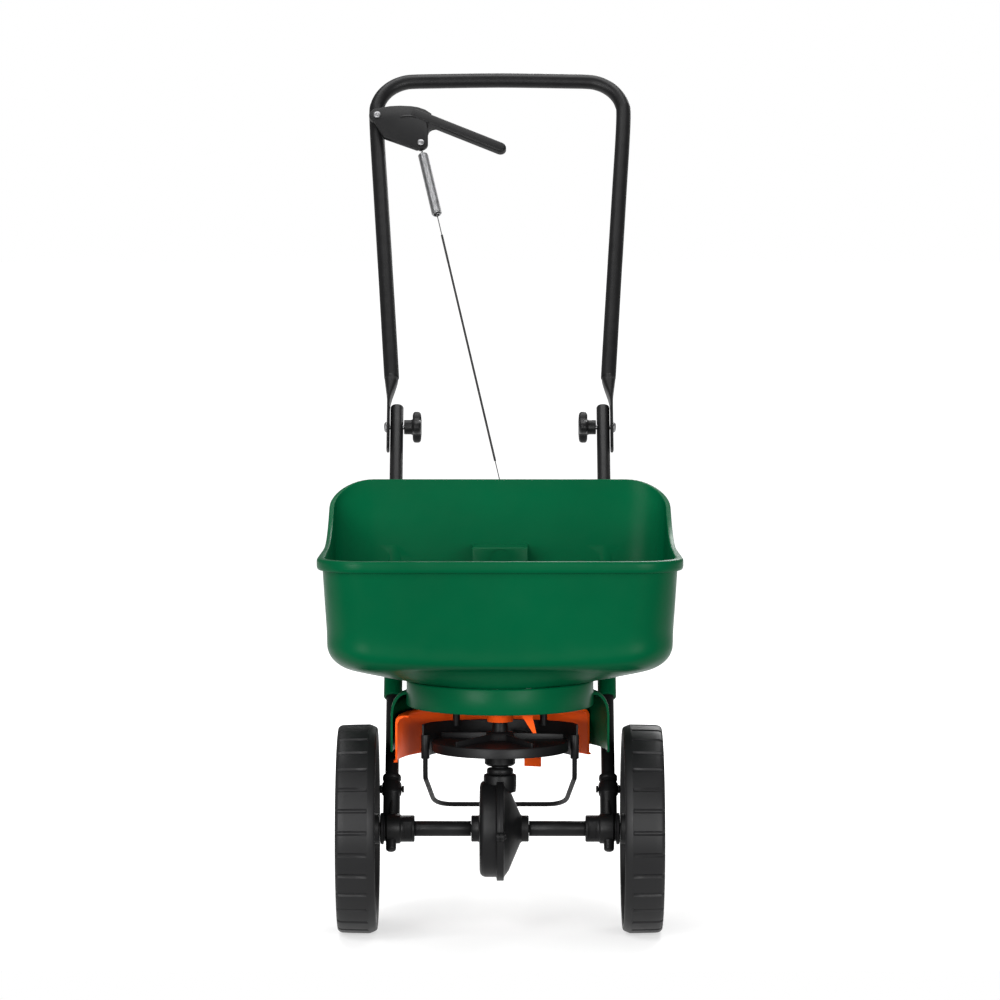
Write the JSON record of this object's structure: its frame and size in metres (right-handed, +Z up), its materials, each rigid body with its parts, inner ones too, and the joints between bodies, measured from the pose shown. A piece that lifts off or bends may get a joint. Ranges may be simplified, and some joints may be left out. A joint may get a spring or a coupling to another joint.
{
  "type": "walk-behind broadcast spreader",
  "caption": "Walk-behind broadcast spreader with an open green hopper, geared impeller, two wheels, folding handle and squeeze lever.",
  "frame": {"origin": "on the ground, under the middle of the object's box, with the wheels on the ground and the hopper level", "axes": "+Z up, +Y back towards the user who walks behind it, +X to the user's left; the lever is on the user's right"},
  "size_m": [0.429, 0.7861, 1.0417],
  "materials": {
    "green_plastic": "moulded, satin gloss",
    "orange_plastic": "moulded, satin",
    "black_plastic": "moulded, satin",
    "wheel_plastic": "moulded tread, matte",
    "black_steel": "black powder coat, semi-gloss",
    "bright_steel": "zinc plated",
    "spring_steel": "drawn wire, bright",
    "white_nylon": "moulded gear, natural"
  },
  "bodies": {
    "frame": {"hopper": "green_plastic", "impeller_housing": "green_plastic", "rear_deflector": "black_plastic", "deflector_screw_left": "bright_steel", "deflector_screw_right": "bright_steel", "shaft_bush": "black_plastic", "gearbox_housing": "black_plastic", "gearbox_cover": "black_plastic", "gearbox_screw_1": "black_steel", "gearbox_screw_2": "black_steel", "gearbox_screw_3": "black_steel", "axle_tube_left": "black_steel", "axle_tube_right": "black_steel", "axle_bracket_left": "black_plastic", "axle_bracket_right": "black_plastic", "bracket_bolt_left": "black_steel", "bracket_bolt_right": "black_steel", "wheel_washer_left": "bright_steel", "wheel_washer_right": "bright_steel", "lower_tube_left": "black_steel", "lower_tube_right": "black_steel", "tube_screw_left": "bright_steel", "tube_screw_right": "bright_steel", "knob_bolt_left": "bright_steel", "knob_bolt_right": "bright_steel", "rear_stand": "black_steel", "cable_guide": "black_plastic", "crank_screw": "bright_steel", "dial_screw": "bright_steel"},
    "handle": {"upper_handle": "black_steel", "lever_rivet": "bright_steel"},
    "lever": {"control_lever": "black_plastic", "cable_pin": "bright_steel"},
    "cable_upper": {"lever_spring": "spring_steel", "cable_wire_upper": "bright_steel", "cable_sheath_upper": "black_plastic"},
    "cable_lower": {"cable_sheath_lower": "black_plastic", "cable_wire_lower": "bright_steel"},
    "pull_wire": {"pull_wire": "bright_steel"},
    "crank": {"bell_crank": "black_steel"},
    "shutoff": {"shutoff_plate": "orange_plastic"},
    "drive": {"axle": "bright_steel", "drive_pin": "bright_steel", "crown_gear": "white_nylon", "wheel_left": "wheel_plastic", "hub_cap_left": "black_plastic", "hub_cap_right": "black_plastic"},
    "impeller": {"impeller": "black_plastic", "impeller_shaft": "bright_steel", "pinion": "bright_steel", "agitator": "bright_steel"},
    "free_wheel": {"wheel_right": "wheel_plastic"},
    "edge_shield": {"edge_shield": "orange_plastic"},
    "rate_dial": {"rate_dial": "orange_plastic"},
    "knob_left": {"knob_left": "black_plastic"},
    "knob_right": {"knob_right": "black_plastic"}
  },
  "joints": [
    {"name": "handle_fold", "type": "hinge", "parent": "frame", "child": "handle", "pos_m": [0, 0.0848, 0.5891], "axis": [-1, 0, 0], "range_deg": [0, 120]},
    {"name": "lever_squeeze", "type": "hinge", "parent": "handle", "child": "lever", "pos_m": [-0.1617, 0.34645, 0.977], "axis": [0, -0.829, 0.5592], "range_deg": [0, 24], "stiffness_Nm_per_rad": 1.2, "springref_deg": -22.92},
    {"name": "cable_swing", "type": "hinge", "parent": "lever", "child": "cable_upper", "pos_m": [-0.1037, 0.31557, 0.94464], "axis": [0, -0.829, 0.5592], "range_deg": [-28, 0]},
    {"name": "cable_slide", "type": "slide", "parent": "frame", "child": "cable_lower", "axis": [-0.2022, 0.5332, 0.8215], "range_m": [0, 0.032]},
    {"name": "pull_wire_slide", "type": "slide", "parent": "frame", "child": "pull_wire", "axis": [0, 0, 1], "range_m": [0, 0.032]},
    {"name": "crank_turn", "type": "hinge", "parent": "frame", "child": "crank", "pos_m": [0.063, 0.02527, 0.4], "axis": [0, 1, 0], "range_deg": [0, 35]},
    {"name": "shutoff_turn", "type": "hinge", "parent": "frame", "child": "shutoff", "pos_m": [0, -0.22823, 0.27], "axis": [0, 0, 1], "range_deg": [0, 16]},
    {"name": "axle_spin", "type": "hinge", "parent": "frame", "child": "drive", "pos_m": [0, -0.22823, 0.125], "axis": [1, 0, 0], "continuous": true},
    {"name": "impeller_spin", "type": "hinge", "parent": "frame", "child": "impeller", "pos_m": [0, -0.22823, 0.225], "axis": [0, 0, 1], "continuous": true},
    {"name": "free_wheel_spin", "type": "hinge", "parent": "frame", "child": "free_wheel", "pos_m": [0, -0.22823, 0.125], "axis": [1, 0, 0], "continuous": true},
    {"name": "edge_shield_swing", "type": "hinge", "parent": "frame", "child": "edge_shield", "pos_m": [0, -0.22823, 0.234], "axis": [0, 0, 1], "range_deg": [-30, 0]},
    {"name": "rate_dial_turn", "type": "hinge", "parent": "frame", "child": "rate_dial", "pos_m": [0, -0.06923, 0.385], "axis": [0, 1, 0], "range_deg": [-60, 60]},
    {"name": "knob_left_turn", "type": "hinge", "parent": "frame", "child": "knob_left", "pos_m": [0.12125, 0.0848, 0.5891], "axis": [1, 0, 0], "continuous": true},
    {"name": "knob_right_turn", "type": "hinge", "parent": "frame", "child": "knob_right", "pos_m": [-0.12125, 0.0848, 0.5891], "axis": [1, 0, 0], "continuous": true}
  ],
  "couplings": [
    {"joint": "cable_swing", "follows": "lever_squeeze", "ratio": -1.095},
    {"joint": "cable_slide", "follows": "lever_squeeze", "m_per_rad": 0.0587},
    {"joint": "pull_wire_slide", "follows": "lever_squeeze", "m_per_rad": 0.0587},
    {"joint": "crank_turn", "follows": "lever_squeeze", "ratio": 1.0477},
    {"joint": "shutoff_turn", "follows": "lever_squeeze", "ratio": 0.5108},
    {"joint": "impeller_spin", "follows": "axle_spin", "ratio": 4}
  ]
}
